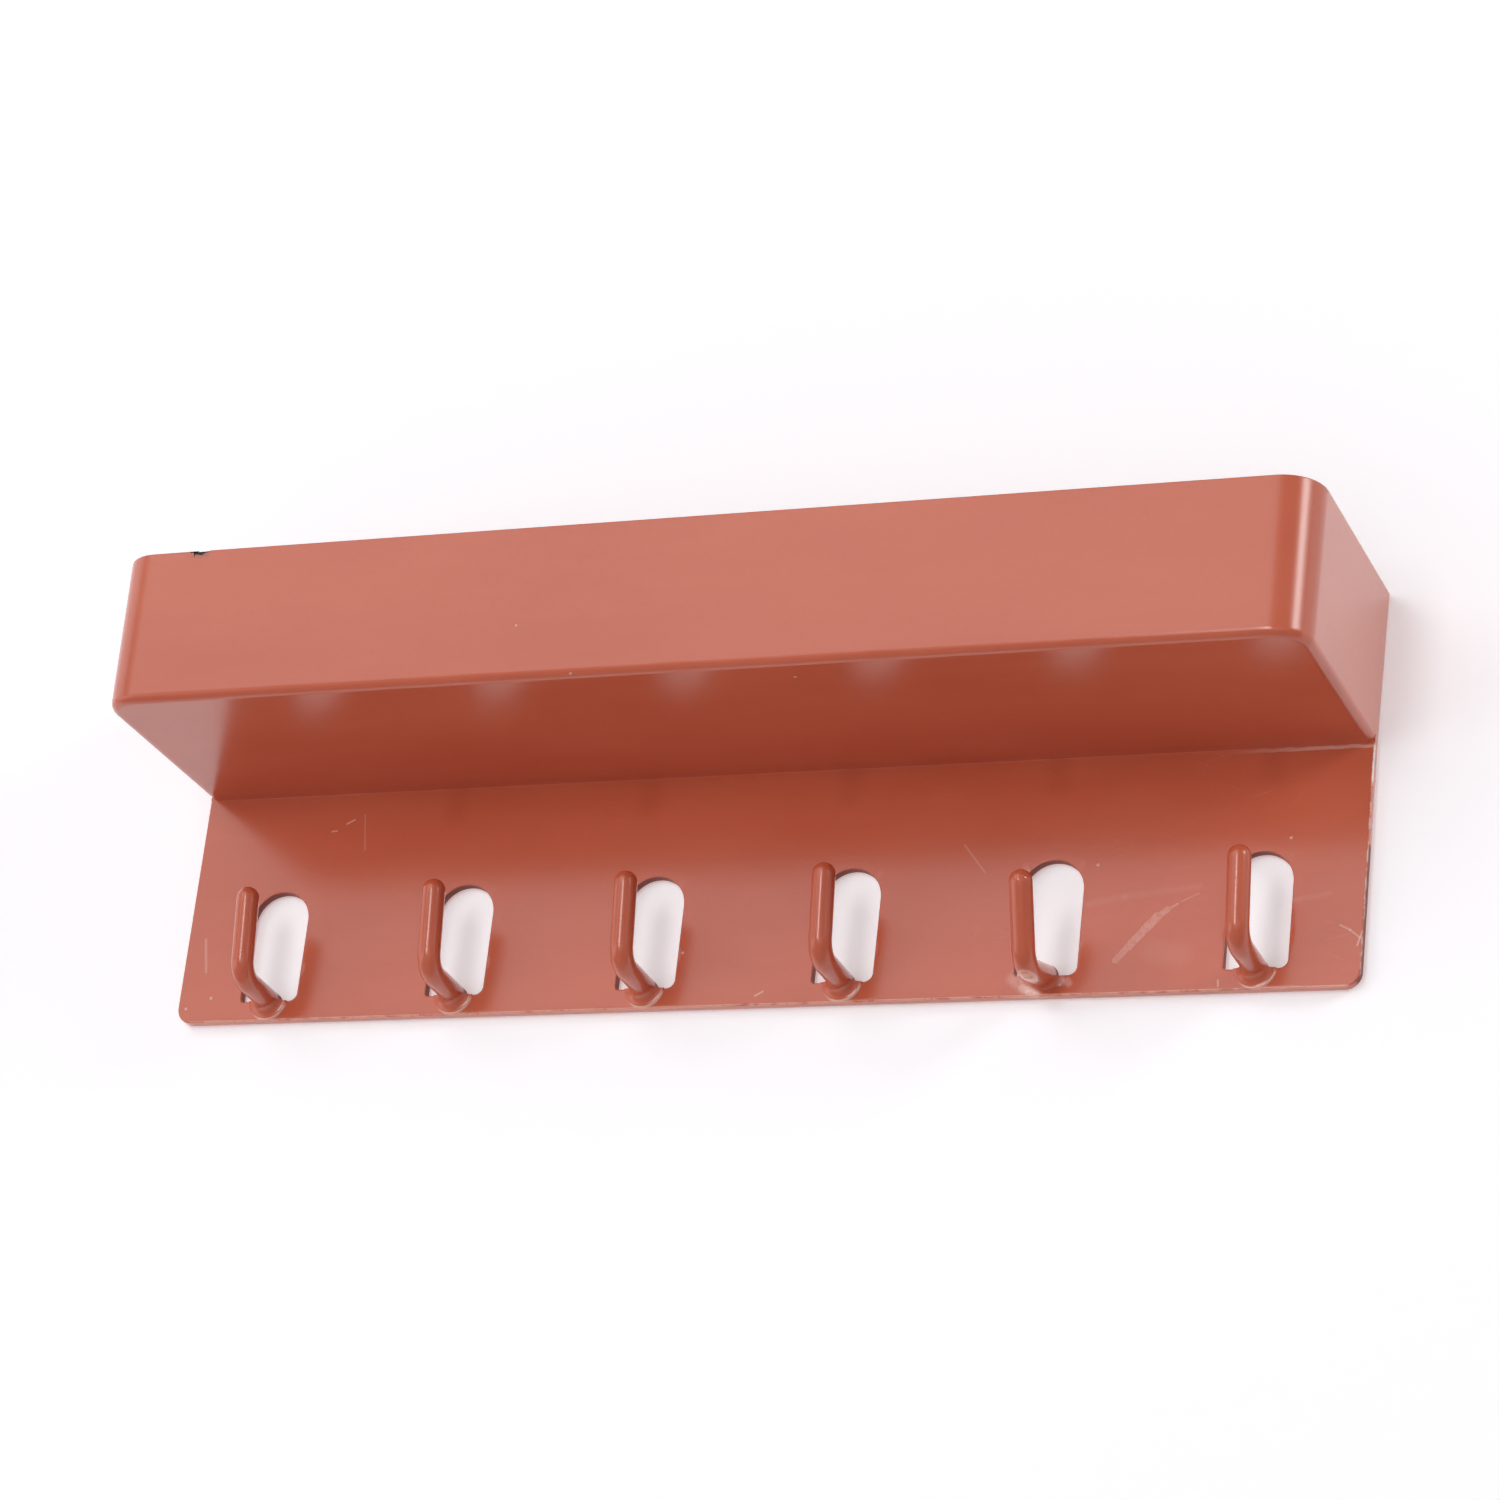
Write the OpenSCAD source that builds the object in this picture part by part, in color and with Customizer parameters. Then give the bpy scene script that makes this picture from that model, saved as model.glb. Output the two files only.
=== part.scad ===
// Wall shelf moulded in one piece: an open tray with a drop plate under its back edge,
// and a row of six round hooks that stand in front of arched windows in the plate.
// X runs along the shelf, the front looks towards -Y and the wall plane is y = 0.
// The underside of the tray is z = 0.

/* [Tray] */
// Overall width, at the tray's rim
tray_w = 240.4; // [180:0.1:320]
// How far the tray stands out from the wall
tray_d = 51; // [30:0.1:90]
// Height of the tray's outside
tray_h = 31.1; // [15:0.1:60]
// Thickness of the tray's front, sides and floor
wall = 2; // [1.2:0.1:3.5]
// How far the front and sides lean in towards the underside, in degrees
draft = 0.9; // [0:0.1:3]
// Outside radius of the two upright front corners, at the rim
corner_r = 7.5; // [5:0.1:14]
// Outside radius of the edges round the tray's underside
foot_r = 1.8; // [0.5:0.1:4]
// Radius where the tray's floor turns up into its walls, inside
inner_foot_r = 1; // [0.5:0.1:3]

/* [Plate] */
// Thickness of the plate and of the tray's back
plate_t = 2; // [1.2:0.1:4]
// How far the plate hangs below the tray's underside
plate_drop = 47.5; // [30:0.1:90]
// Radius of the plate's two lower corners
plate_corner_r = 3.2; // [1:0.1:10]

/* [Windows] */
// Number of windows, with one hook in each; as many as the plate has room for
window_count = 6; // [2:1:8]
// Distance from one window to the next
window_pitch = 40; // [24:0.5:60]
// Width of a window
window_w = 12.1; // [8:0.1:20]
// Height of a window from its sill to the crown of its arch
window_h = 22.8; // [14:0.1:40]
// Height of the sill above the plate's lower edge
sill_h = 4.1; // [2.5:0.1:20]
// Radius of the sill's left corner
sill_left_r = 0.8; // [0.3:0.1:3]
// Radius of the sill's right corner
sill_right_r = 1.7; // [0.3:0.1:3]

/* [Hooks] */
// Diameter of the hook's rod
hook_d = 4.4; // [3:0.1:6]
// How far the rod's turn stands out from the wall, on its centre line
hook_reach = 13.95; // [9:0.05:30]
// Height of the rod's turn above the plate's lower edge, on its centre line
hook_turn_h = 4.73; // [3:0.01:20]
// Centre line radius of the turn
hook_bend_r = 3.95; // [2.5:0.05:6]
// Rise of the lower bar towards its turn, in degrees
bar_rise = 2.2; // [0:0.1:10]
// Outward lean of the upright arm, in degrees
arm_lean = 7.7; // [0:0.1:15]
// Length of the arm from the turn to the centre of its round tip
arm_len = 15.6; // [10:0.1:30]
// Radius of the flared root where it meets the plate
root_r = 4.1; // [3:0.1:8]
// Height of the small step at the edge of the root
root_step = 0.25; // [0.1:0.05:1]

/* [Bent hook] */
// Which hook has been bent, counted from the left
bent_hook = 5; // [1:1:8]
// How far it has been bent forward and down, in degrees
bent_down = 16; // [0:0.5:30]
// How far it has been turned to the right, in degrees
bent_aside = 1; // [0:0.5:6]
// Depth of the point it gave way at, from the wall
bent_depth = 1; // [0:0.1:2]
// Height of the point it gave way at, above the plate's lower edge
bent_h = 3; // [1:0.1:6]

/* [Damage] */
// Distance of the rim's nick from the left end
nick_x = 18.1; // [8:0.1:100]
// Length of the nick
nick_len = 4; // [1:0.1:8]
// Depth of the nick
nick_depth = 0.6; // [0.1:0.05:1]
// Distance of the lower edge's chip from the left end
chip_x = 121.1; // [10:0.1:170]
// Length of the chip
chip_len = 3.2; // [1:0.1:8]
// Depth of the chip
chip_depth = 0.4; // [0.1:0.05:1]

/* [Hidden] */
$fn = 96;
plate_low = -plate_drop;
plate_front = -plate_t;
window_low = plate_low + sill_h;
arch_r = window_w / 2;
rod_r = hook_d / 2;
flare_r = root_r - rod_r;
lean = tan(draft);
window_end = 4;
plate_half = tray_w / 2 - tray_h * lean;
window_room = 2 * plate_half - window_w - 2 * window_end;
windows = min(window_count, 1 + floor(window_room / window_pitch));
first_window = -(windows - 1) * window_pitch / 2;
turn_angle = 90 - bar_rise - arm_lean;
turn_tangent = hook_bend_r * tan(turn_angle / 2);
turn_skin = 0.03;
turn_lap = 0.3;
hook_turn_z = plate_low + hook_turn_h;
bar_len = hook_reach / cos(bar_rise);
bar_back_z = hook_turn_z - hook_reach * tan(bar_rise);
root_z = hook_turn_z - (hook_reach - plate_t) * tan(bar_rise);
clear = 1;
behind_wall = 30;

// A box that leans in downwards, with round upright front corners and a round foot.
// Its widths are those at the tray's rim. It is open towards the wall, where it ends at y = back.
module footed_box(w, front, back, low, high, upright_r, edge_r) {
    post_x = w / 2 - upright_r;
    post_y = front + upright_r;
    translate([post_x, back, 0])
        rotate([90, 0, -90])
            linear_extrude(2 * post_x)
                wall_profile(back - front, low, high, edge_r);
    for (side = [-1, 1]) {
        translate([side * post_x, back, 0])
            rotate([90, 0, 0])
                linear_extrude(back - post_y)
                    mirror([side > 0 ? 0 : 1, 0])
                        wall_profile(upright_r, low, high, edge_r);
        translate([side * post_x, post_y, 0])
            rotate([0, 0, side > 0 ? -90 : 180])
                rotate_extrude(angle = 90)
                    wall_profile(upright_r, low, high, edge_r);
    }
}

// The box's section from the axis out to a leaning wall with a round foot.
module wall_profile(reach, low, high, edge_r) {
    foot_x = reach - (tray_h - low - edge_r) * lean - edge_r / cos(draft);
    meet_x = edge_r * cos(draft);
    meet_z = -edge_r * sin(draft);
    translate([0, low])
        square([foot_x, edge_r]);
    translate([foot_x, low + edge_r]) {
        polygon([
            [-foot_x, 0], [0, 0], [meet_x, meet_z],
            [reach + (high - tray_h) * lean - foot_x, high - low - edge_r],
            [-foot_x, high - low - edge_r]
        ]);
        intersection() {
            circle(edge_r);
            polygon([[0, 0], [0, -2 * edge_r], [2 * edge_r, -2 * edge_r], [2 * meet_x, 2 * meet_z]]);
        }
    }
}

// The back and drop plate, one flat sheet, seen from the front.
module plate_outline() {
    post_x = plate_half - plate_corner_r;
    polygon([[-plate_half, 0], [plate_half, 0], [tray_w / 2, tray_h], [-tray_w / 2, tray_h]]);
    translate([-plate_half, plate_low + plate_corner_r])
        square([2 * plate_half, plate_drop - plate_corner_r]);
    translate([-post_x, plate_low])
        square([2 * post_x, plate_corner_r]);
    for (side = [-1, 1])
        translate([side * post_x, plate_low + plate_corner_r])
            circle(plate_corner_r);
}

// One arched window, with its sill on the axis and its two lower corners rounded.
module window_outline() {
    lift = max(sill_left_r, sill_right_r);
    translate([-arch_r, lift])
        square([window_w, window_h - arch_r - lift]);
    translate([0, window_h - arch_r])
        circle(arch_r);
    translate([-arch_r + sill_left_r, 0])
        square([window_w - sill_left_r - sill_right_r, lift]);
    translate([-arch_r, sill_left_r])
        square([sill_left_r, lift - sill_left_r + 0.01]);
    translate([-arch_r + sill_left_r, sill_left_r])
        circle(sill_left_r);
    translate([arch_r - sill_right_r, sill_right_r])
        circle(sill_right_r);
}

// The prism that a window cuts, from behind the wall plane to well in front of the plate.
module window_cut() {
    translate([0, clear, window_low])
        rotate([90, 0, 0])
            linear_extrude(plate_t + root_step + flare_r + 2 * clear)
                window_outline();
}

// Bare rod of one hook, from the wall plane out and up to its round tip.
// Both straight lengths run a little way into the turn, which is a hair thicker.
module hook_rod() {
    translate([0, 0, bar_back_z])
        rotate([90 - bar_rise, 0, 0])
            cylinder(h = bar_len - turn_tangent + turn_lap, r = rod_r);
    translate([0, -hook_reach, hook_turn_z]) {
        rotate([-bar_rise, 0, 0])
            translate([0, turn_tangent, hook_bend_r])
                rotate([180, 90, 0])
                    rotate_extrude(angle = turn_angle)
                        translate([hook_bend_r, 0])
                            circle(rod_r + turn_skin);
        rotate([arm_lean, 0, 0])
            translate([0, 0, turn_tangent - turn_lap])
                rotate_extrude()
                    arm_profile();
    }
}

// Half section of the arm, with the round tip at its upper end.
module arm_profile() {
    straight = arm_len - turn_tangent + turn_lap;
    square([rod_r, straight]);
    intersection() {
        translate([0, straight])
            circle(rod_r);
        square([rod_r, straight + rod_r]);
    }
}

// Flared foot of a hook on the plate, only where the plate is there to carry it.
module hook_root() {
    difference() {
        translate([0, plate_front, root_z])
            rotate([90, 0, 0])
                rotate_extrude()
                    root_profile();
        window_cut();
    }
}

// Half section of the flared foot: the axis is on the left and the plate below.
module root_profile() {
    translate([0, -plate_t / 2])
        square([root_r, plate_t / 2 + root_step]);
    difference() {
        translate([0, root_step])
            square([root_r, flare_r]);
        translate([root_r, root_step + flare_r])
            circle(flare_r);
    }
}

// One hook with its foot.
module hook() {
    hook_rod();
    hook_root();
}

// The hook that has given way at its foot and hangs forward.
module bent_hook_in_place() {
    translate([0, -bent_depth, plate_low + bent_h])
        rotate([bent_down, 0, bent_aside])
            translate([0, bent_depth, -plate_low - bent_h])
                hook();
}

// A shallow lens cut out of a long edge that runs along X.
module edge_scoop(length, depth) {
    scoop_r = length * length / (8 * depth) + depth / 2;
    translate([0, 0, scoop_r - depth])
        rotate([90, 0, 0])
            cylinder(h = 2 * wall, r = scoop_r, center = true);
}

// Tray, plate and all hooks as the single moulding they are.
module holder() {
    color([0.72, 0.36, 0.28])
        difference() {
            union() {
                difference() {
                    union() {
                        footed_box(tray_w, -tray_d, plate_front, 0, tray_h, corner_r, foot_r);
                        rotate([90, 0, 0])
                            linear_extrude(plate_t)
                                plate_outline();
                    }
                    footed_box(
                        tray_w - 2 * wall, wall - tray_d, plate_front,
                        wall, tray_h + clear, corner_r - wall, inner_foot_r
                    );
                    for (i = [0 : windows - 1])
                        translate([first_window + i * window_pitch, 0, 0])
                            window_cut();
                }
                for (i = [0 : windows - 1])
                    translate([first_window + i * window_pitch, 0, 0])
                        if (i + 1 == bent_hook)
                            bent_hook_in_place();
                        else
                            hook();
            }
            translate([-tray_w, 0, plate_low - behind_wall])
                cube([2 * tray_w, behind_wall, tray_h + plate_drop + 2 * behind_wall]);
            translate([nick_x - tray_w / 2, -tray_d, tray_h])
                rotate([45, 0, 0])
                    edge_scoop(nick_len, nick_depth);
            translate([chip_x - tray_w / 2, plate_front, plate_low])
                rotate([135, 0, 0])
                    edge_scoop(chip_len, chip_depth);
        }
}

holder();
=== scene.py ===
import math

import bmesh
import bpy
import numpy as np
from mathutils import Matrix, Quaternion, Vector


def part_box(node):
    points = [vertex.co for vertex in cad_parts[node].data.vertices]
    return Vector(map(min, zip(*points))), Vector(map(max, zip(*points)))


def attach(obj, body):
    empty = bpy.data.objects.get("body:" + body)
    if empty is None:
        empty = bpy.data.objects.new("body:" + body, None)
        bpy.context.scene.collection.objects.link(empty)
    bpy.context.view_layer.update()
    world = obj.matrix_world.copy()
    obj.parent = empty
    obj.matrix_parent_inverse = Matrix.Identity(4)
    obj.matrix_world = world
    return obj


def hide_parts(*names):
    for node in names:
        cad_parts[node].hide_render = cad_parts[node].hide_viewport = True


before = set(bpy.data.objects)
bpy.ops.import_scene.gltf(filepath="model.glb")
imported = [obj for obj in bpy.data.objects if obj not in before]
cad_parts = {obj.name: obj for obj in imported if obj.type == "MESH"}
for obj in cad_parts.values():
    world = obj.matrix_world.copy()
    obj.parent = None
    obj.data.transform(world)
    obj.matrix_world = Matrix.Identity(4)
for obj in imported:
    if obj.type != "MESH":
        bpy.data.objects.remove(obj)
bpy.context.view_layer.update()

# The key shelf is one moulding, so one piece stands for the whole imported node.
# Lengths are millimetres until a mesh is made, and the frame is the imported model's own.
MM = 0.001

# Tray
holder_low, holder_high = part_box("holder")
half_w = round(holder_high.x / MM, 2)
depth = round(-holder_low.y / MM, 2)
height = round(holder_high.z / MM, 2)
wall = 2.0
corner_r = 7.5
foot_r = 1.8
inner_foot_r = 1.0
rim_band = 1.5
draft = math.radians(0.9)
lean = math.tan(draft)
post_x = half_w - corner_r
post_y = corner_r - depth
# From the rim's outline to the centres of the outer and the inner foot
outer_foot = -(height - foot_r) * lean - foot_r / math.cos(draft)
inner_foot = -wall - (height - wall - inner_foot_r) * lean - inner_foot_r / math.cos(draft)

# Plate
plate_t = 2.0
plate_low = -47.5
plate_corner_r = 3.2
plate_front = -plate_t
plate_half = half_w - height * lean

# Windows
window_xs = np.arange(-100.0, 101.0, 40.0)
cell_half = 20.0
window_half = 6.05
sill_z = -43.4
crown_z = -20.6
sill_left_r = 0.8
sill_right_r = 1.7
middle_z = -31.5
spring_z = crown_z - window_half

# Hooks
rod_r = 2.2
hook_reach = 13.95
turn_z = -42.77
bend_r = 3.95
bar_rise = math.radians(2.2)
arm_lean = math.radians(7.7)
arm_len = 15.6
root_r = 4.1
root_step = 0.25
root_z = turn_z - (hook_reach - plate_t) * math.tan(bar_rise)
skin = 0.02

# The fifth hook has been bent forward and a little aside about a point in the plate's lower edge
bent_x = 60.0
bent_down = math.radians(16)
bent_aside = math.radians(1)
bent_pivot = np.array([0.0, -1.0, -44.5])

# Damage on the rim and on the plate's lower edge
nick_at = np.array([-102.1, -depth, height])
nick_size = np.array([2.0, 0.62, 0.62])
nick_tail = np.array([-1.3, 0, 0])
nick_tail_size = np.array([0.8, 0.4, 0.35])
chip_at = np.array([0.9, plate_front, plate_low])
chip_size = np.array([1.5, 0.42, 0.4])

# The plate's hump at the bent foot: its middle, its reach both ways, and how far it goes out and down
hump_z = -45.6
hump_reach = (4.2, 2.6)
hump_out, hump_down = 0.28, 0.22

# Rounding of the moulding's edges, and the angle past which an edge is rounded or stays crisp
edge_round = 0.28
rounded_from = math.radians(50)
crisp_from = math.radians(38)


class Skin:
    """Patches of corners and faces that are joined into one closed mesh."""

    def __init__(self):
        self.corners, self.faces, self.count = [], [], 0

    def patch(self, grid):
        """Joins the points of a grid (rows, columns, 3) into quads."""
        rows, columns = grid.shape[:2]
        at = self.count + np.arange(rows * columns).reshape(rows, columns)
        quads = np.stack([at[:-1, :-1], at[:-1, 1:], at[1:, 1:], at[1:, :-1]], axis=-1)
        self.faces += quads.reshape(-1, 4).tolist()
        self.corners.append(grid.reshape(-1, 3))
        self.count += rows * columns

    def face(self, *corners):
        """Adds one flat face."""
        self.faces.append(list(range(self.count, self.count + len(corners))))
        self.corners.append(np.array(corners, float))
        self.count += len(corners)

    def mesh(self, name):
        """Merges the patches along their shared edges and turns every face outwards."""
        mesh = bpy.data.meshes.new(name)
        mesh.from_pydata(np.concatenate(self.corners) * MM, [], self.faces)
        work = bmesh.new()
        work.from_mesh(mesh)
        bmesh.ops.remove_doubles(work, verts=work.verts, dist=0.0005 * MM)
        bmesh.ops.recalc_face_normals(work, faces=work.faces)
        open_edges = sum(not e.is_manifold for e in work.edges)
        print(f"{name}: {len(work.verts)} corners, {len(work.faces)} faces, {open_edges} open edges")
        work.to_mesh(mesh)
        work.free()
        return mesh


def at(x, y, z):
    """Points from three arrays or numbers, spread to one shape."""
    return np.stack(np.broadcast_arrays(*np.atleast_1d(x, y, z)), axis=-1).astype(float)


def ray_reach(angle, left, right, low, high, radii):
    """Distance from the middle to a round-cornered rectangle along each ray.

    A ray meets the nearer of a side and a level line. Where that point lies past a corner's
    centre both ways, the far root of the ray and the corner's circle takes its place.
    """
    c, s = np.cos(angle), np.sin(angle)
    to_side = np.where(c > 0, right, -left) / np.maximum(np.abs(c), 1e-9)
    to_level = np.where(s > 0, high, -low) / np.maximum(np.abs(s), 1e-9)
    reach = np.minimum(to_side, to_level)
    for (side, level), r in radii.items():
        x = (right if side > 0 else left) - side * r
        z = (high if level > 0 else low) - level * r
        past = (side * (reach * c - x) > 1e-9) & (level * (reach * s - z) > 1e-9)
        along = c * x + s * z
        far = along + np.sqrt(np.maximum(along**2 - (x * x + z * z - r * r), 0))
        reach = np.where(past, far, reach)
    return reach


def arc(x, z, r, start, end, steps):
    """Points on a circle round (x, z), from one angle to another in degrees."""
    turn = np.radians(np.linspace(start, end, steps))
    return np.stack([x + r * np.cos(turn), z + r * np.sin(turn)], axis=-1)


def ray_angles():
    """Directions of the rays from a window's middle, the same for each window and both ways.

    They pass through every point that an outline needs: the tray's corner and foot above,
    the plate's corners below, and the window's arch and sill corners.
    """
    top, low = -middle_z, plate_low - middle_z
    tray_end, plate_end = post_x - window_xs[-1], plate_half - window_xs[-1]
    foot_start = half_w + outer_foot - window_xs[-1]
    quarter = np.radians(np.linspace(0, 90, 9))
    above = np.concatenate([
        [cell_half, plate_end],
        tray_end + (foot_start - tray_end) * np.sin(quarter),
        np.minimum(foot_start + foot_r * np.sin(quarter), plate_end),
        np.linspace(0, tray_end, 7),
    ])
    corner = plate_end - plate_corner_r
    needed = [
        np.stack([above, np.full_like(above, top)], axis=-1),
        [[cell_half, low], [plate_end, low]],
        arc(corner, low + plate_corner_r, plate_corner_r, -90, 0, 9),
        arc(0, spring_z - middle_z, window_half, 90, 0, 17),
        arc(window_half - sill_right_r, sill_z - middle_z + sill_right_r, sill_right_r, 0, -90, 9),
        arc(window_half - sill_left_r, sill_z - middle_z + sill_left_r, sill_left_r, 0, -90, 6),
        [[x, sill_z - middle_z] for x in np.linspace(0, 4.5, 10)],
        [[window_half, z] for z in np.linspace(-9, 4, 6)],
    ]
    kept = []
    for x, z in np.concatenate(needed):
        for turn in (math.atan2(z, x), math.atan2(z, -x)):
            if all(abs(turn - other) > 0.002 for other in kept):
                kept.append(turn)
    return np.sort(kept)


def swollen(points):
    """The plate where the bent hook has dragged its foot: out and down in a smooth hump.

    The hump is a bell curve over the distance from the foot, weaker above the sill.
    """
    dx = (points[..., 0] - bent_x) / hump_reach[0]
    dz = (points[..., 2] - hump_z) / hump_reach[1]
    bell = np.exp(-dx**2 - dz**2)
    return points + np.stack([0 * bell, -hump_out * bell, -hump_down * bell], axis=-1)


def plate_cells(shelf):
    """Front, back, windows and outer edge of the plate below the tray.

    Each window has a cell of its own. Rays from the window's middle meet its outline and
    the cell's outline, and rings share out the way between the two.
    """
    angle = ray_angles()
    angle = np.append(angle, angle[0] + 2 * np.pi)
    share = np.array([0, 0.1, 0.22, 0.38, 0.58, 0.8, 1])[:, None]
    window_radii = {
        (-1, 1): window_half, (1, 1): window_half, (-1, -1): sill_left_r, (1, -1): sill_right_r
    }
    inner = ray_reach(angle, -window_half, window_half, sill_z - middle_z, crown_z - middle_z, window_radii)
    plate_end = plate_half - window_xs[-1]
    junction = []
    for x in window_xs:
        side = -1 if x == window_xs[0] else 1 if x == window_xs[-1] else 0
        radii = {(side, -1): plate_corner_r} if side else {}
        left = -plate_end if side < 0 else -cell_half
        right = plate_end if side > 0 else cell_half
        outer = ray_reach(angle, left, right, plate_low - middle_z, -middle_z, radii)
        reach = inner + (outer - inner) * share
        sheets = []
        for y in (plate_front, 0.0):
            sheet = at(x + reach * np.cos(angle), y, middle_z + reach * np.sin(angle))
            sheets.append(swollen(sheet) if y < 0 and x == bent_x else sheet)
            shelf.patch(sheets[-1])
        front, back = sheets
        shelf.patch(np.stack([front[0], back[0]]))
        rim_x, rim_z = outer * np.cos(angle), middle_z + outer * np.sin(angle)
        on_edge = (rim_z < -0.01) & ((np.abs(rim_x) < cell_half - 0.001) | (side * rim_x > 0))
        on_edge |= np.abs(rim_z - plate_low) < 0.001
        on_edge |= (side * rim_x > plate_end - 0.001) & (rim_z < 0.001)
        for k in np.flatnonzero(on_edge[:-1] & on_edge[1:]):
            shelf.patch(np.stack([front[-1, k:k + 2], back[-1, k:k + 2]]))
        junction.append(x + rim_x[np.abs(rim_z) < 0.001])
    return np.unique(np.round(np.concatenate(junction), 6))


def tray(shelf, x):
    """Tray, its rim and the back above the plate, in columns over the points x of the junction.

    A column's distance past the corner post sets its angle round the post, and past the
    foot's start its angle round the foot. The wall's section is carried along the plan from
    one end of the plate round the front to the other.
    """
    flat_r, floor_r = corner_r + outer_foot, corner_r + inner_foot
    past = np.abs(x) - post_x
    last = np.abs(x) > plate_half - 0.001
    post = np.arcsin(np.clip(past / flat_r, 0, 1)) * np.sign(x)
    foot = np.arcsin(np.clip((past - flat_r) / foot_r, 0, 1))
    foot = np.where(last, math.pi / 2 - draft, foot)
    under = past < flat_r + 0.001
    ends = past > flat_r - 0.001
    turn = np.unique(np.round(foot[ends], 6))
    band = height - rim_band
    section = np.concatenate([
        np.stack([outer_foot + foot_r * np.sin(turn), foot_r - foot_r * np.cos(turn)], axis=-1),
        [[-rim_band * lean, band], [0, height], [-wall, height], [-wall - rim_band * lean, band]],
        np.stack([
            inner_foot + inner_foot_r * np.sin(turn[::-1]),
            wall + inner_foot_r - inner_foot_r * np.cos(turn[::-1]),
        ], axis=-1),
    ])
    out, level = section[:, :1], section[:, 1:]

    def plan(columns, r):
        px = np.clip(x[columns], -post_x, post_x) + r * np.sin(post[columns])
        return px, post_y - r * np.cos(post[columns])

    px, py = plan(under, corner_r + out)
    start_x = -post_x - corner_r - out
    shelf.patch(np.concatenate([
        at(start_x, plate_front, level), at(px, py, level), at(-start_x, plate_front, level)
    ], axis=1))

    px, py = plan(under, flat_r)
    shelf.patch(np.stack([at(px, py, 0), at(x[under], plate_front, 0)]))
    px, py = plan(under, floor_r)
    shelf.patch(np.stack([at(px, py, wall), at(px, plate_front, wall)]))

    inside_x = np.clip(x, -post_x, post_x) + floor_r * np.sin(post)
    inside_x = inside_x + np.sign(x) * inner_foot_r * np.sin(foot)
    rows = [at(inside_x, plate_front, wall + inner_foot_r * (1 - np.cos(foot)))]
    for z in (band, height):
        edge = np.sign(x) * (half_w - wall - (height - z) * lean)
        rows.append(at(np.where(last, edge, inside_x), plate_front, z))
    shelf.patch(np.stack(rows))
    top = at(np.where(last, np.sign(x) * half_w, x), 0, height)
    shelf.patch(np.stack([at(x, 0, 0), top]))
    shelf.patch(np.stack([top, rows[-1]]))
    for side in (-1, 1):
        here = ends & (side * x > 0)
        foot_x = side * (half_w + outer_foot + foot_r * np.sin(foot[here]))
        foot_z = foot_r * (1 - np.cos(foot[here]))
        shelf.patch(np.stack([at(x[here], plate_front, 0), at(foot_x, plate_front, foot_z)]))
        rim, low = side * half_w, side * plate_half
        meet = np.argmax(foot_z)
        shelf.face((rim, plate_front, height), (rim, 0, height), (side * (half_w - wall), plate_front, height))
        shelf.face(
            (low, plate_front, 0), (foot_x[meet], plate_front, foot_z[meet]),
            (side * (half_w - rim_band * lean), plate_front, band), (rim, plate_front, height),
            (rim, 0, height), (low, 0, 0),
        )


def soften_edges(mesh):
    """Weights for the rounding of edges: all outer edges, and the inner one under the tray by half."""
    work = bmesh.new()
    work.from_mesh(mesh)
    weight = work.edges.layers.float.new("bevel_weight_edge")
    for edge in work.edges:
        if edge.calc_face_angle(0) < rounded_from:
            continue
        middle = (edge.verts[0].co + edge.verts[1].co) / 2 / MM
        on_front = abs(middle.y - plate_front) < 0.01
        if edge.is_convex:
            edge[weight] = 0.0 if on_front and 0 < middle.z < foot_r else 1.0
        elif on_front and abs(middle.z) < 0.01:
            edge[weight] = 0.5
    work.to_mesh(mesh)
    work.free()


def tube(centres, radii, spin):
    """A closed round bar: rings of the given radii, square to a line in the plane x = 0.

    A ring's points are the centre plus r cos t along x and r sin t along the line's normal.
    """
    step = np.gradient(centres, axis=0)
    step /= np.linalg.norm(step, axis=1, keepdims=True)
    normal = np.stack([np.zeros(len(step)), -step[:, 2], step[:, 1]], axis=-1)
    across = np.array([1.0, 0, 0])
    ring = radii[:, None, None] * (
        np.cos(spin)[None, :, None] * across + np.sin(spin)[None, :, None] * normal[:, None, :]
    )
    return centres[:, None, :] + ring


def rod_line():
    """Centre line and radius of a hook's rod, from the plate's back to its round tip.

    A straight bar, a round turn and a straight leaning arm; the tip's radius falls as the
    root of 1 - u squared over the last rod radius.
    """
    sweep = math.pi / 2 - bar_rise - arm_lean
    tangent = bend_r * math.tan(sweep / 2)
    corner = np.array([-hook_reach, turn_z])
    bar = np.array([-math.cos(bar_rise), math.sin(bar_rise)])
    arm = np.array([-math.sin(arm_lean), math.cos(arm_lean)])
    start = corner - bar * (hook_reach - skin) / math.cos(bar_rise)
    bend_start = corner - bar * tangent
    centre = bend_start + bend_r * np.array([math.sin(bar_rise), math.cos(bar_rise)])
    turn = np.linspace(0, sweep, 19)[:, None]
    inward = (bend_start - centre) / bend_r
    bend = centre + bend_r * (np.cos(turn) * inward + np.sin(turn) * bar)
    run = np.linspace(0, 1, 13)[:-1, None]
    tip_from = corner + arm * arm_len
    cap = np.sin(np.linspace(0, math.pi / 2, 11))[1:, None]
    line = np.concatenate([
        start + (bend_start - start) * run, bend[:-1],
        bend[-1] + (tip_from - bend[-1]) * run, [tip_from], tip_from + arm * rod_r * cap,
    ])
    radii = np.concatenate([
        np.full(len(line) - len(cap), rod_r), rod_r * np.sqrt(1 - np.minimum(cap[:, 0], 1) ** 2)
    ])
    centres = np.stack([np.zeros(len(line)), line[:, 0], line[:, 1]], axis=-1)
    return centres, radii


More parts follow.
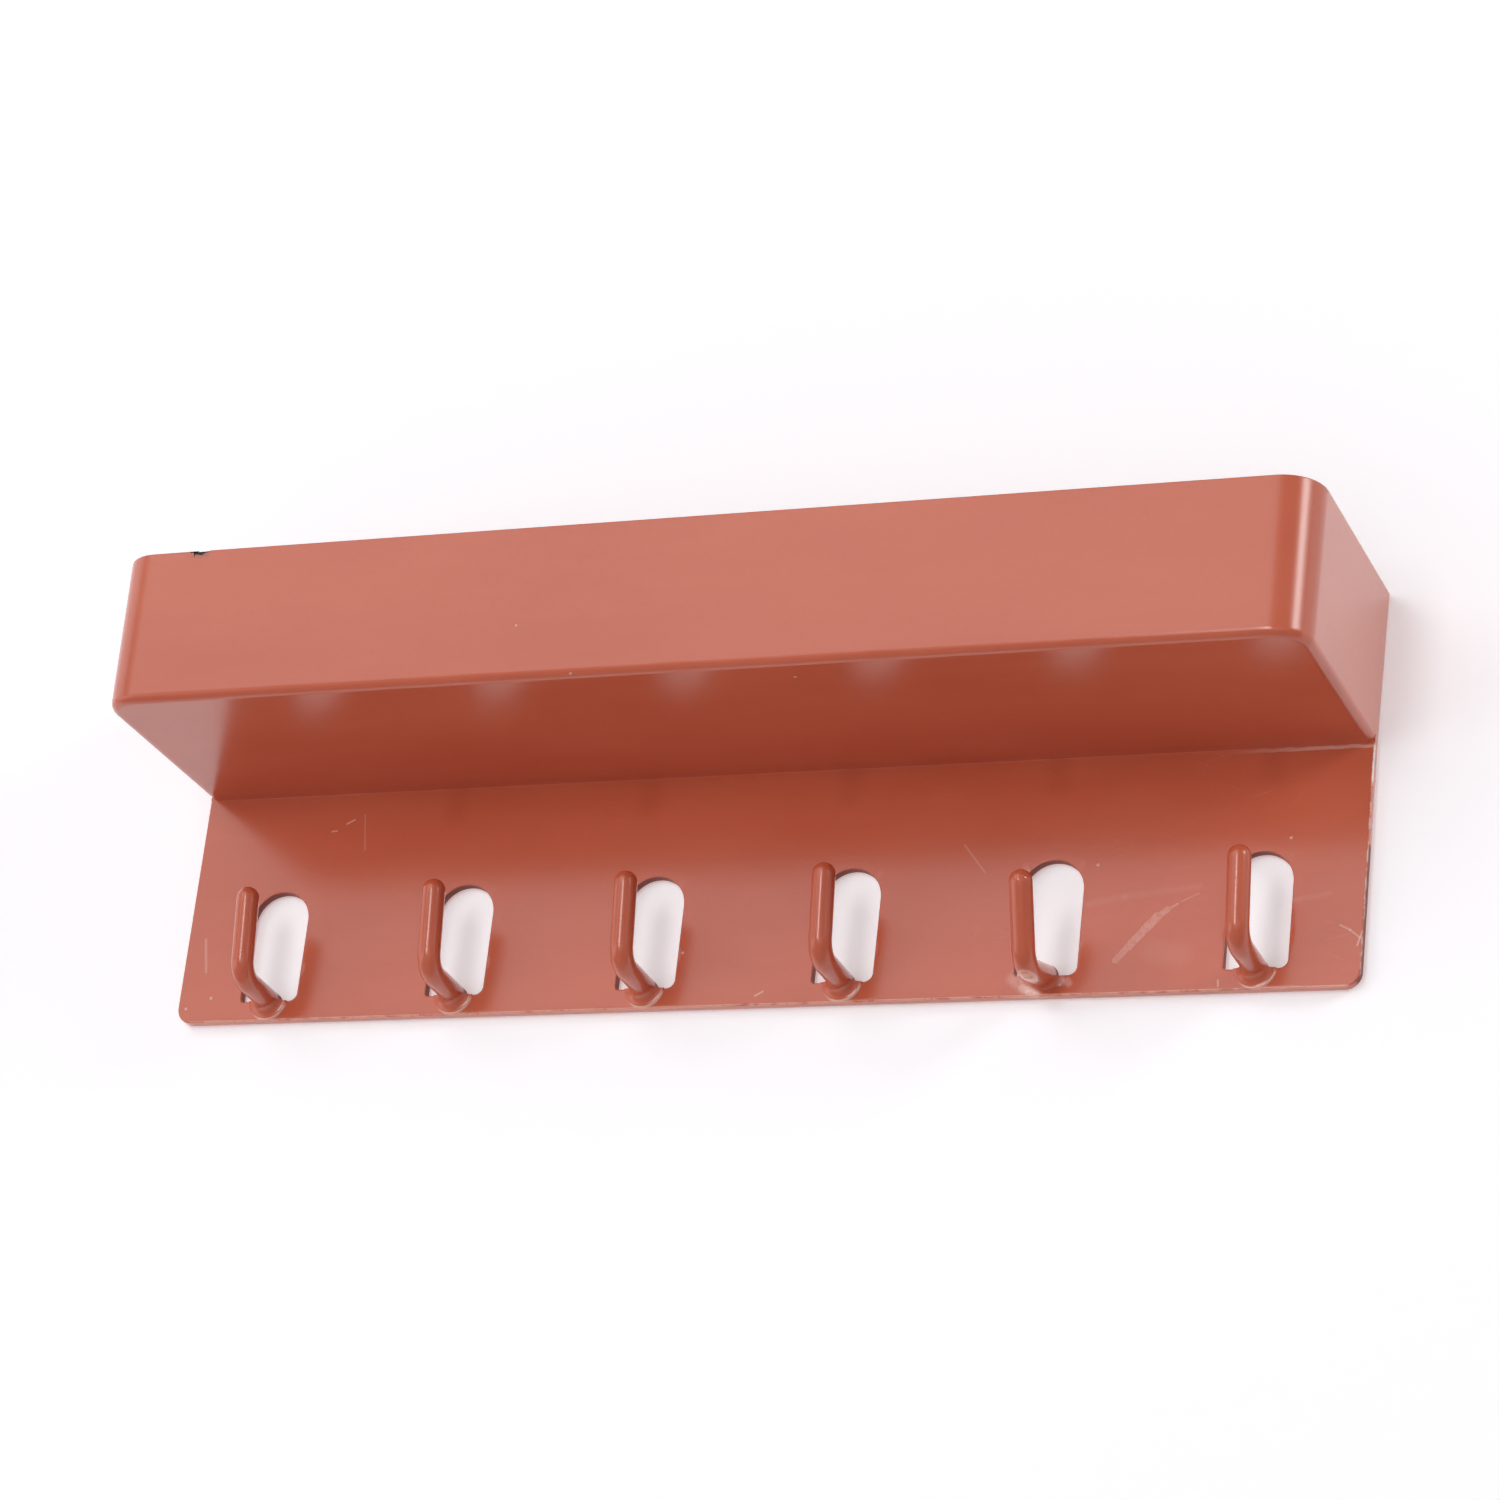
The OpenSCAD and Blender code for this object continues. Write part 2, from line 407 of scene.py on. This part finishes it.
def placed(points, x):
    """Moves a hook's points to its window, and bends the fifth hook as the real one is bent."""
    if x == bent_x:
        offset = points - bent_pivot
        c, s = math.cos(bent_down), math.sin(bent_down)
        down = np.stack([
            offset[..., 0], c * offset[..., 1] - s * offset[..., 2], s * offset[..., 1] + c * offset[..., 2]
        ], axis=-1)
        c, s = math.cos(bent_aside), math.sin(bent_aside)
        aside = np.stack([
            c * down[..., 0] - s * down[..., 1], s * down[..., 0] + c * down[..., 1], down[..., 2]
        ], axis=-1)
        points = aside + bent_pivot
    points = points + np.array([x, 0, 0])
    points[..., 1] = np.minimum(points[..., 1], -skin)
    return points


def rods(mesh_skin):
    """The six round bars, each closed flat at the plate's back and round at its tip."""
    spin = np.linspace(0, 2 * np.pi, 49)
    centres, radii = rod_line()
    body = tube(centres, radii, spin)
    flat_end = centres[:1, None, :] + (body[:1] - centres[:1, None, :]) * np.array([0, 0.5])[:, None, None]
    body = np.concatenate([flat_end, body])
    for x in window_xs:
        mesh_skin.patch(placed(body, x))


def roots(mesh_skin):
    """The flared foot of each hook on the plate below the sill.

    A profile is turned about the bar: a short step at the full radius, then a quarter round
    that falls to the rod. Each ring only runs where it lies below the level of the sill, so
    its ends rest on that level, and a flat face joins them.
    """
    flare = root_r - rod_r
    fall = np.linspace(0, math.pi / 2, 13)
    profile = np.concatenate([
        [[0.2, -0.9], [root_r, -0.9], [root_r, root_step - 0.06], [root_r - 0.06, root_step]],
        np.stack([root_r - flare * np.sin(fall[1:]), root_step + flare * (1 - np.cos(fall[1:]))], axis=-1),
        [[rod_r - 0.4, root_step + flare + 0.05], [0.2, root_step + flare + 0.05]],
    ])
    r, out = profile[:, :1], profile[:, 1:]
    below = root_z - sill_z
    first = np.arcsin(np.clip(below / r, -1, 1))
    share = np.linspace(0, 1, 41)[None, :]
    turn = -np.pi + first + (np.pi - 2 * first) * share
    shell = at(r * np.cos(turn), plate_front - out, root_z + r * np.sin(turn))
    for x in window_xs:
        done = placed(shell, x)
        done = np.concatenate([done, done[:, :1]], axis=1)
        mesh_skin.patch(done)
        for end in (done[0], done[-1]):
            mesh_skin.patch(np.stack([end, np.broadcast_to(end[:-1].mean(0), end.shape)]))


def bite(middle, size, seed):
    """An uneven lump for cutting a break: a ball, stretched, whose radius ripples."""
    rng = np.random.default_rng(seed)
    spin = np.linspace(0, 2 * np.pi, 25)[None, :]
    rise = np.linspace(-np.pi / 2, np.pi / 2, 13)[:, None]
    radius = np.ones((13, 25))
    for wave in range(2, 8):
        phase = rng.uniform(0, 2 * np.pi, 2)
        radius += 0.16 / wave * np.cos(rise) * np.cos(wave * spin + phase[0]) * np.cos(wave * rise + phase[1])
    shape = at(np.sin(rise) + 0 * spin, np.cos(rise) * np.cos(spin), np.cos(rise) * np.sin(spin))
    return middle + shape * radius[..., None] * size


def shape_object(name, mesh):
    """An object for a mesh, at the origin."""
    thing = bpy.data.objects.new(name, mesh)
    bpy.context.scene.collection.objects.link(thing)
    return thing


def baked(thing):
    """The object's mesh with its modifiers worked in."""
    graph = bpy.context.evaluated_depsgraph_get()
    return bpy.data.meshes.new_from_object(thing.evaluated_get(graph))


def cut_or_join(thing, tool_mesh, operation):
    """Joins or cuts a closed mesh and leaves no helper behind."""
    tool = shape_object("helper", tool_mesh)
    change = thing.modifiers.new("change", "BOOLEAN")
    change.operation = operation
    change.solver = "MANIFOLD"
    change.object = tool
    result = baked(thing)
    thing.modifiers.clear()
    thing.data = result
    bpy.data.objects.remove(tool)


def moulding():
    """The whole shelf as one closed mesh."""
    shelf = Skin()
    tray(shelf, plate_cells(shelf))
    mesh = shelf.mesh("shelf")
    soften_edges(mesh)
    thing = shape_object("key_shelf_moulding", mesh)
    edges = thing.modifiers.new("edges", "BEVEL")
    edges.limit_method = "WEIGHT"
    edges.width = edge_round * MM
    edges.segments = 3
    edges.use_clamp_overlap = False
    result = baked(thing)
    thing.modifiers.clear()
    thing.data = result
    for fill in (rods, roots):
        part = Skin()
        fill(part)
        cut_or_join(thing, part.mesh(fill.__name__), "UNION")
    bites = Skin()
    bites.patch(bite(nick_at, nick_size, 3))
    bites.patch(bite(nick_at + nick_tail, nick_tail_size, 5))
    cut_or_join(thing, bites.mesh("rim_nick"), "DIFFERENCE")
    bites = Skin()
    bites.patch(bite(chip_at, chip_size, 7))
    cut_or_join(thing, bites.mesh("edge_chip"), "DIFFERENCE")
    thing.data.shade_smooth()
    thing.data.set_sharp_from_angle(angle=crisp_from)
    finish = thing.modifiers.new("flat_faces", "WEIGHTED_NORMAL")
    finish.keep_sharp = True
    print("moulding", len(thing.data.vertices), "corners", len(thing.data.polygons), "faces")
    return thing


class Value:
    """A number that varies over a surface. Sums and products of it add Math nodes."""

    def __init__(self, paint, socket):
        self.paint, self.socket = paint, socket

    def __add__(self, other):
        return self.paint.maths("ADD", self, other)

    def __sub__(self, other):
        return self.paint.maths("SUBTRACT", self, other)

    def __rsub__(self, other):
        return self.paint.maths("SUBTRACT", other, self)

    def __mul__(self, other):
        return self.paint.maths("MULTIPLY", self, other)

    __radd__, __rmul__ = __add__, __mul__


class Paint:
    """The nodes of a material or of the studio's world."""

    def __init__(self, owner):
        owner.use_nodes = True
        self.owner, self.tree = owner, owner.node_tree
        self.tree.nodes.clear()

    def node(self, kind, settings, values):
        """Adds a node, makes its settings and then fills or links its sockets."""
        node = self.tree.nodes.new(kind)
        for name, setting in settings.items():
            setattr(node, name, setting)
        for key, value in values.items():
            if isinstance(value, Value):
                self.tree.links.new(value.socket, node.inputs[key])
            else:
                node.inputs[key].default_value = value
        return node

    def value(self, kind, settings, values, output=0):
        return Value(self, self.node(kind, settings, values).outputs[output])

    def maths(self, operation, *numbers):
        return self.value("ShaderNodeMath", {"operation": operation}, dict(enumerate(numbers)))

    def vectors(self, operation, *vectors, output=0):
        return self.value("ShaderNodeVectorMath", {"operation": operation}, dict(enumerate(vectors)), output)

    def rise(self, value, low, high):
        """A smooth step from 0 at low to 1 at high, or the other way where high is the lower."""
        limits = {"Value": value, "From Min": low, "From Max": high}
        return self.value("ShaderNodeMapRange", {"interpolation_type": "SMOOTHSTEP"}, limits)

    def mix(self, share, first, second):
        settings = {"data_type": "RGBA", "clamp_factor": True}
        return self.value("ShaderNodeMix", settings, {0: share, 6: first, 7: second}, output=2)

    def noise(self, place, size, detail=3.0, stretch=(1, 1, 1), shift=0.0, rough=0.55):
        """Cloudy noise round 0.5. The size is its grain in millimetres before it is stretched."""
        scale = [1 / (size * way) for way in stretch]
        moved = self.vectors("MULTIPLY_ADD", place, scale, [shift, 1.7 * shift, 2.3 * shift])
        values = {"Vector": moved, "Scale": 1.0, "Detail": detail, "Roughness": rough}
        return self.value("ShaderNodeTexNoise", {}, values)


def streaks(paint, place, angle, length, width, shift):
    """Short fine scratches on the front faces, all close to one direction.

    The place is turned in the plane of x and z and stretched along the scratches. They lie
    where the stretched noise comes near its highest values.
    """
    c, s = math.cos(math.radians(angle)), math.sin(math.radians(angle))
    along = paint.vectors("DOT_PRODUCT", place, [c / length, 0.3 / length, s / length], output=1)
    across = paint.vectors("DOT_PRODUCT", place, [-s / width, 0.2 / width, c / width], output=1)
    turned = paint.value("ShaderNodeCombineXYZ", {}, {0: along, 1: across, 2: shift})
    field = paint.value("ShaderNodeTexNoise", {}, {"Vector": turned, "Scale": 1.0, "Detail": 1.0})
    return paint.rise(field, 0.66, 0.74)


def near(paint, place, start, end, reach, blur):
    """1 within reach of the straight line from start to end and 0 past reach + blur.

    The nearest point of the line is start + (end - start) t, where t is the projection of
    the place on the line, kept between 0 and 1.
    """
    start, end = np.array(start, float), np.array(end, float)
    way = end - start
    offset = paint.vectors("SUBTRACT", place, list(start))
    squared = float(way @ way)
    if squared > 0:
        share = paint.vectors("DOT_PRODUCT", offset, list(way / squared), output=1)
        share = paint.value("ShaderNodeClamp", {}, {"Value": share})
        onto = paint.value("ShaderNodeVectorMath", {"operation": "SCALE"}, {0: list(way), "Scale": share})
        offset = paint.vectors("SUBTRACT", offset, onto)
    distance = paint.vectors("LENGTH", offset, output=1)
    return paint.rise(distance, reach + blur, reach)


# Colours of the plastic and of its marks, and of its painted shade and painted highlights
plastic_deep = (0.540, 0.103, 0.048, 1)
plastic_light = (0.585, 0.122, 0.060, 1)
flow_tint = (0.62, 0.150, 0.082, 1)
grain_tint = (0.47, 0.085, 0.040, 1)
# Painted shade for the windows' inner walls
window_wall_shade = (0.10, 0.045, 0.045, 1)
# Painted shade for the dark streaks under the tray
streak_shade_tint = (0.38, 0.065, 0.03, 1)
hair_tint = (0.70, 0.30, 0.22, 1)
scuff_tint = (0.80, 0.46, 0.39, 1)
stress_white = (0.86, 0.60, 0.54, 1)
# Pale marks, and the painted highlights of the step edges and the glint
pale_mark_and_highlight = (0.80, 0.52, 0.44, 1)
# The pale foot line: partly rubbed wear, partly a painted highlight
foot_wear_and_highlight = (0.88, 0.42, 0.31, 1)
worn_end = (0.92, 0.86, 0.80, 1)
smudge_tint = (0.20, 0.085, 0.060, 1)
break_black = (0.018, 0.012, 0.011, 1)
plastic_ior = 1.52

# The painted shade streaks under the tray: one of them, the way from each to the next, and the farthest left
shade_streak_x = 17.8
shade_streak_pitch = 41.5
shade_streaks_from = -92

# Marks on the plate's front as (x, z, x, z, reach, blur, strength)
plate_marks = [
    (-91.5, -7.9, -90.4, -7.8, 0.08, 0.15, 0.55),
    (-88.4, -6.4, -86.8, -5.6, 0.08, 0.15, 0.60),
    (-84.7, -4.6, -83.6, -12.2, 0.02, 0.25, 0.22),
    (-115.9, -30.0, -114.7, -36.8, 0.10, 0.35, 0.28),
    (93.2, -45.5, 93.3, -46.6, 0.08, 0.18, 0.55),
    (2.9, -45.6, 4.4, -44.8, 0.08, 0.18, 0.55),
    (41.9, -16.7, 46.4, -22.4, 0.02, 0.30, 0.20),
    (67.2, -29.6, 74.2, -28.5, 0.05, 1.10, 0.06),
    (74.2, -28.5, 88.3, -26.9, 0.05, 1.10, 0.06),
    (106.3, -30.4, 113.1, -29.3, 0.05, 0.80, 0.07),
    (80.8, -39.4, 85.7, -40.3, 0.50, 3.20, 0.06),
    (115.4, -35.6, 117.3, -36.6, 0.08, 0.18, 0.45),
    (117.3, -36.6, 119.2, -38.2, 0.08, 0.18, 0.45),
    (118.8, -39.6, 119.6, -36.9, 0.08, 0.18, 0.60),
]

# The leaf-shaped scuff between the last two hooks, as (x, z, x, z, reach, blur)
scuff_run = [
    (73.4, -41.0, 75.7, -38.3, 0.42, 0.45),
    (75.7, -38.3, 78.6, -35.0, 0.58, 0.45),
    (78.6, -35.0, 80.8, -32.6, 0.66, 0.45),
    (80.8, -32.6, 82.6, -31.3, 0.40, 0.40),
    (82.6, -31.3, 84.4, -30.3, 0.12, 0.30),
    (85.0, -29.9, 88.4, -28.3, 0.05, 0.14),
]

# Stress whitening round the bent hook's foot, as (x, z, x, z, reach, blur, strength)
whitening = [
    (53.9, -43.9, 57.6, -46.8, 0.30, 1.60, 0.32),
    (55.9, -45.9, 58.6, -47.2, 0.30, 0.80, 0.50),
    (57.0, -46.7, 59.4, -47.4, 0.20, 0.50, 0.35),
    (53.7, -42.2, 55.6, -44.7, 0.05, 0.12, 0.80),
    (63.0, -44.3, 63.3, -44.7, 0.20, 1.30, 0.35),
    (64.4, -44.6, 64.8, -45.2, 0.20, 0.90, 0.35),
]

# Pale specks on the plate and the tray as (x, y, z, reach)
specks = [
    (-112.7, -2, -42.4, 0.22), (-117.9, -2, -44.5, 0.20), (-12.9, -2, -36.4, 0.18),
    (68.5, -2, -21.9, 0.20), (105.1, -2, -18.1, 0.18), (-32.8, -50.5, 10.9, 0.18),
    (21.9, -44.2, 0, 0.20), (-20.6, -50.3, 0.4, 0.30),
]


def terracotta_plastic():
    """Moulded terracotta plastic: faint clouds and flow lines, hair scratches, scuffs and stress marks, with
    painted shade and painted highlights.
    """
    paint = Paint(bpy.data.materials.new("terracotta_plastic"))
    where = paint.value("ShaderNodeTexCoord", {}, {}, output="Object")
    place = paint.value("ShaderNodeVectorMath", {"operation": "SCALE"}, {0: where, "Scale": 1000.0})
    parts = paint.node("ShaderNodeSeparateXYZ", {}, {0: place})
    x, y, z = (Value(paint, out) for out in parts.outputs)
    normal = paint.node("ShaderNodeNewGeometry", {}, {}).outputs["Normal"]
    facing = paint.vectors("DOT_PRODUCT", Value(paint, normal), [0, -1, 0], output=1)

    cloud = paint.noise(place, 45, 2, (1.6, 1, 0.7))
    flow = paint.noise(place, 9, 3, (4, 1, 1), 3.1)
    grain = paint.noise(place, 0.9, 2, (1, 1, 1), 7.7)
    colour = paint.mix(paint.rise(cloud, 0.3, 0.7), plastic_deep, plastic_light)
    colour = paint.mix(paint.rise(flow, 0.35, 0.75) * 0.22, colour, flow_tint)
    colour = paint.mix(paint.rise(grain, 0.45, 0.8) * 0.10, colour, grain_tint)

    # Hair scratches, thicker on the plate's right half where rings have swung
    rubbed = paint.noise(place, 14, 2, (1, 1, 1), 11.3)
    rubbed = paint.rise(rubbed, 0.42, 0.68) * (0.35 + 0.65 * paint.rise(x, -20, 90))
    rubbed = rubbed * paint.rise(facing, 0.8, 0.95)
    on_plate = paint.rise(y, -2.9, -2.3) * paint.rise(y, -1.0, -1.6) * paint.rise(z, 0.4, -0.1)
    hair = streaks(paint, place, 14, 9, 0.30, 2.0) + streaks(paint, place, -24, 7, 0.34, 5.0)
    hair = (hair + streaks(paint, place, 74, 6, 0.30, 9.0) * 0.7) * rubbed * on_plate

    # The scuff is a chain of strokes, broken up by noise and by drag lines that run along it
    scuff = 0.0
    for x1, z1, x2, z2, reach, blur in scuff_run:
        scuff = paint.maths("MAXIMUM", near(paint, place, (x1, -2, z1), (x2, -2, z2), reach, blur), scuff)
    broken = paint.noise(place, 0.5, 3, (1, 1, 1), 4.4)
    drag = streaks(paint, place, 44, 6, 0.18, 14.0) + paint.rise(broken, 0.40, 0.60)
    scuff = paint.rise(scuff + 1.2 * paint.noise(place, 0.9, 3, (1, 1, 1), 8.8), 0.95, 1.35)
    scuff = scuff * (0.5 + 0.5 * drag) * on_plate

    # Stress whitening, a little uneven, and one small painted glint on the bent foot
    torn = paint.rise(paint.noise(place, 1.3, 3, (1.5, 1, 0.8), 21.0), 0.36, 0.60)
    white = 0.0
    for x1, z1, x2, z2, reach, blur, strength in whitening:
        white = white + strength * near(paint, place, (x1, -2.1, z1), (x2, -2.2, z2), reach, blur)
    white = white * (0.65 + 0.35 * torn) * on_plate
    glint = near(paint, place, (60.6, -2.5, -47.1), (61.5, -2.5, -46.6), 0.20, 0.10)

    # A painted highlight on the edge of the small step round each straight hook's foot
    across = paint.maths("WRAP", x + 100, cell_half, -cell_half)
    upward = z - root_z
    ring = paint.maths("SQRT", across * across + upward * upward)
    step_highlight = paint.rise(paint.maths("ABSOLUTE", ring - (root_r - 0.06)), 0.20, 0.10)
    step_highlight = step_highlight * paint.rise(y, -2.45, -2.3) * on_plate * paint.rise(z, -43.6, -44.6)
    from_bent = paint.maths("ABSOLUTE", x - bent_x)
    step_highlight = step_highlight * paint.rise(from_bent, 5, 7) * paint.rise(across, -3.6, -1.0)

    # Rubbed edges: along the plate's foot, its right end and the corner under the tray. The pale line along
    # the foot is partly rubbed wear and partly a painted highlight of its rounded edge
    ragged = paint.noise(place, 1.6, 3, (2.5, 1, 2.5), 31.0, 0.7)
    foot_line = paint.rise(z, plate_low + 0.45, plate_low + 0.25) * paint.rise(y, -1.5, -1.9)
    foot_line = foot_line * (0.35 + 0.65 * paint.rise(ragged, 0.38, 0.52))
    end_line = paint.rise(x, 119.35, 119.65) * paint.rise(y, -1.2, -1.7) * paint.rise(z, 0.3, -0.6)
    end_white = paint.rise(z, -8.2, -7.2) * paint.rise(ragged, 0.30, 0.45)
    end_white = (end_white + 0.35 * paint.rise(ragged, 0.5, 0.6)) * end_line
    wobble = z + 0.5 * paint.noise(place, 2.2, 2, (1, 1, 1), 41.0)
    burr = paint.rise(wobble, -0.75, -0.45) * paint.rise(wobble, 0.15, -0.1)
    burr = burr * paint.rise(x, 88, 112) * on_plate

    # Painted highlights of the step edges and the glint, with single pale marks and specks
    marks_and_highlights = step_highlight * 0.9 + glint * 0.9
    for x1, z1, x2, z2, reach, blur, strength in plate_marks:
        mark = near(paint, place, (x1, -2, z1), (x2, -2, z2), reach, blur)
        marks_and_highlights = marks_and_highlights + strength * mark * on_plate
    for sx, sy, sz, reach in specks:
        marks_and_highlights = marks_and_highlights + 0.6 * near(paint, place, (sx, sy, sz), (sx, sy, sz), reach, 0.2)

    # The windows' inner walls get painted shade, a dark colour that stands in for the shade there, and are
    # rougher
    sideways = paint.rise(paint.maths("ABSOLUTE", facing), 0.5, 0.3)
    inner = paint.rise(y, -1.95, -1.7) * sideways * paint.rise(z, -19.5, -20.2) * paint.rise(z, -47.0, -46.0)
    colour = paint.mix(inner * 0.75, colour, window_wall_shade)

    # Five soft dark streaks of painted shade hang down from the corner under the tray
    aside = paint.maths("ABSOLUTE", paint.maths("WRAP", x - shade_streak_x, shade_streak_pitch / 2, -shade_streak_pitch / 2))
    painted_streaks = paint.rise(aside, 4.3, 0.3) * paint.rise(z, -10, -5)
    painted_streaks = painted_streaks * paint.rise(x, shade_streaks_from, shade_streaks_from + 4) * on_plate
    colour = paint.mix(painted_streaks * 0.22, colour, streak_shade_tint)

    colour = paint.mix(hair * 0.16, colour, hair_tint)
    colour = paint.mix(scuff * 0.55, colour, scuff_tint)
    colour = paint.mix(white, colour, stress_white)
    # Pale marks and specks, with the painted highlights of the step edges and the glint
    colour = paint.mix(marks_and_highlights, colour, pale_mark_and_highlight)
    # The pale line along the plate's foot: partly rubbed wear, partly a painted highlight of the rounded edge
    colour = paint.mix(foot_line * 0.75, colour, foot_wear_and_highlight)
    colour = paint.mix(end_white, colour, worn_end)
    colour = paint.mix(burr * 0.55, colour, pale_mark_and_highlight)

    # The black break in the rim, the smudge under it and the dark dot at the right corner
    break_edge = paint.noise(place, 0.5, 3, (1, 1, 1), 51.0)
    black = near(paint, place, (-104.3, -50.6, 31.2), (-100.8, -50.6, 31.2), 0.55, 0.2)
    black = black + near(paint, place, (-103.0, -50.8, 31.0), (-102.0, -50.8, 30.8), 0.65, 0.2)
    black = black * paint.rise(break_edge, 0.28, 0.36)
    smudge = near(paint, place, (-103.8, -50.8, 30.1), (-101.0, -50.8, 30.0), 0.1, 0.8)
    colour = paint.mix(smudge * 0.35, colour, smudge_tint)
    dot = near(paint, place, (120.0, -44.4, 30.4), (120.0, -44.2, 30.3), 0.15, 0.12)
    colour = paint.mix(paint.maths("MAXIMUM", black, dot), colour, break_black)

    rough = 0.185 + 0.03 * cloud + 0.03 * flow + 0.05 * hair + 0.25 * scuff
    rough = rough + 0.15 * white + 0.2 * marks_and_highlights + 0.5 * inner + 0.6 * black
    waves = paint.noise(place, 16, 1, (1.5, 1, 1), 61.0)
    height_field = 0.002 * grain + 0.02 * waves
    bump = paint.value(
        "ShaderNodeBump", {}, {"Strength": 1.0, "Distance": MM, "Height": height_field}, output="Normal"
    )
    values = {"Base Color": colour, "Roughness": rough, "Normal": bump, "IOR": plastic_ior}
    shader = paint.value("ShaderNodeBsdfPrincipled", {}, values)
    paint.node("ShaderNodeOutputMaterial", {}, {"Surface": shader})
    return paint.owner


def plane(name, corners, material):
    """One flat rectangle of the studio, from its four corners."""
    mesh = bpy.data.meshes.new(name)
    mesh.from_pydata(corners, [], [(0, 1, 2, 3)])
    thing = shape_object(name, mesh)
    mesh.materials.append(material)
    return thing


def paper_white(name, colour, seen, mirrored):
    """White paint, a little brighter where it is seen and where gloss mirrors it.

    It is clear from its back and to the light behind it, so that the moulding's back can be seen.
    """
    paint = Paint(bpy.data.materials.new(name))
    path = paint.node("ShaderNodeLightPath", {}, {}).outputs
    glow = Value(paint, path["Is Camera Ray"]) * seen + Value(paint, path["Is Glossy Ray"]) * mirrored
    coat = paint.value("ShaderNodeBsdfDiffuse", {}, {"Color": colour})
    shine = paint.value("ShaderNodeEmission", {}, {"Color": glow, "Strength": 1.0})
    both = paint.value("ShaderNodeAddShader", {}, {0: coat, 1: shine})
    clear = paint.value("ShaderNodeBsdfTransparent", {}, {})
    back = Value(paint, paint.node("ShaderNodeNewGeometry", {}, {}).outputs["Backfacing"])
    through = paint.maths("MAXIMUM", back, Value(paint, path["Is Shadow Ray"]))
    shader = paint.value("ShaderNodeMixShader", {}, {0: through, 1: both, 2: clear})
    paint.node("ShaderNodeOutputMaterial", {}, {"Surface": shader})
    return paint.owner


def lamp(name, azimuth, elevation, distance, size, brightness, aim=Vector((0, -0.02, -0.01))):
    """A soft rectangular lamp. Azimuth 0 is straight in front and grows to the right."""
    a, e = math.radians(azimuth), math.radians(elevation)
    way = Vector((math.sin(a) * math.cos(e), -math.cos(a) * math.cos(e), math.sin(e)))
    data = bpy.data.lights.new(name, "AREA")
    data.shape = "RECTANGLE"
    data.size, data.size_y = size
    data.energy = math.pi * size[0] * size[1] * brightness
    thing = bpy.data.objects.new(name, data)
    bpy.context.scene.collection.objects.link(thing)
    thing.location = aim + way * distance
    thing.rotation_mode = "QUATERNION"
    thing.rotation_quaternion = (-way).to_track_quat("-Z", "Y")
    return thing


# The photograph's view, solved from the holder's straight edges: its width and focal length in
# pixels, the camera's place in millimetres, and its directions forwards and up
photo_width = 1500
focal_length = 5004.55
camera_at = (352.81, -814.31, -365.58)
camera_look = (-0.3710, 0.8448, 0.3855)
camera_up = (0.0483, -0.3970, 0.9165)
sensor_width = 36


def camera():
    """A camera at the photograph's place, from below and to the right, with its slight roll."""
    data = bpy.data.cameras.new("camera")
    data.sensor_width = sensor_width
    data.lens = sensor_width * focal_length / photo_width
    thing = bpy.data.objects.new("camera", data)
    bpy.context.scene.collection.objects.link(thing)
    thing.location = Vector(camera_at) * MM
    look = Vector(camera_look).normalized()
    up = Vector(camera_up)
    level = look.to_track_quat("-Z", "Y")
    level_up, level_right = level @ Vector((0, 1, 0)), level @ Vector((1, 0, 0))
    roll = math.atan2(-up.dot(level_right), up.dot(level_up))
    print("camera roll", math.degrees(roll))
    thing.rotation_mode = "QUATERNION"
    thing.rotation_quaternion = level @ Quaternion((0, 0, 1), roll)
    bpy.context.scene.camera = thing


shelf = moulding()
shelf.data.materials.clear()
shelf.data.materials.append(terracotta_plastic())
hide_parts("holder")
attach(shelf, "root")

# The wall stands a hair behind the moulding's back, and the floor lies far below it. Both in metres.
wall_y, floor_z = 0.0006, -0.6
room, room_front = 1.5, -2
wall_paint = paper_white("wall_paint", (0.86, 0.845, 0.875, 1), 0.30, 0.6)
floor_paint = paper_white("floor_paint", (0.6, 0.59, 0.61, 1), 0.35, 0)
plane("wall", [(-room, wall_y, -1), (room, wall_y, -1), (room, wall_y, 1), (-room, wall_y, 1)], wall_paint)
floor_corners = [(-room, room_front), (room, room_front), (room, wall_y), (-room, wall_y)]
plane("floor", [(x, y, floor_z) for x, y in floor_corners], floor_paint)

# The studio is pale where it is seen and where gloss mirrors it, and gives little light of its own
studio = Paint(bpy.data.worlds.new("studio"))
bpy.context.scene.world = studio.owner
path = studio.node("ShaderNodeLightPath", {}, {}).outputs
pale = 0.05 + 0.55 * Value(studio, path["Is Glossy Ray"]) + 0.8 * Value(studio, path["Is Camera Ray"])
sky = studio.value("ShaderNodeBackground", {}, {"Color": pale, "Strength": 1.0})
studio.node("ShaderNodeOutputWorld", {}, {"Surface": sky})

# Each lamp's angles in degrees, its distance and size in metres, and its brightness, where 1 is white
lamp("key", -24, 25, 1.3, (0.95, 0.8), 1.1)
lamp("key_halo", -25, 26, 1.32, (1.4, 1.05), 0.62)
lamp("left", -82, 22, 1.4, (0.9, 0.8), 0.92)
lamp("low_left", -57, -13, 1.5, (1.4, 0.8), 1.4)
lamp("low_right", 13, -14, 1.5, (1.3, 0.8), 0.75)
lamp("right", 67, 24, 1.0, (0.24, 0.30), 9.0)
lamp("right_halo", 67, 24, 1.05, (0.50, 0.42), 1.4)
lamp("strip", -3.5, 1.5, 1.3, (0.24, 0.40), 10.8)
lamp("behind", 180, 8, 1.3, (1.2, 0.8), 1.6)

camera()
bpy.context.scene.view_settings.view_transform = "Standard"
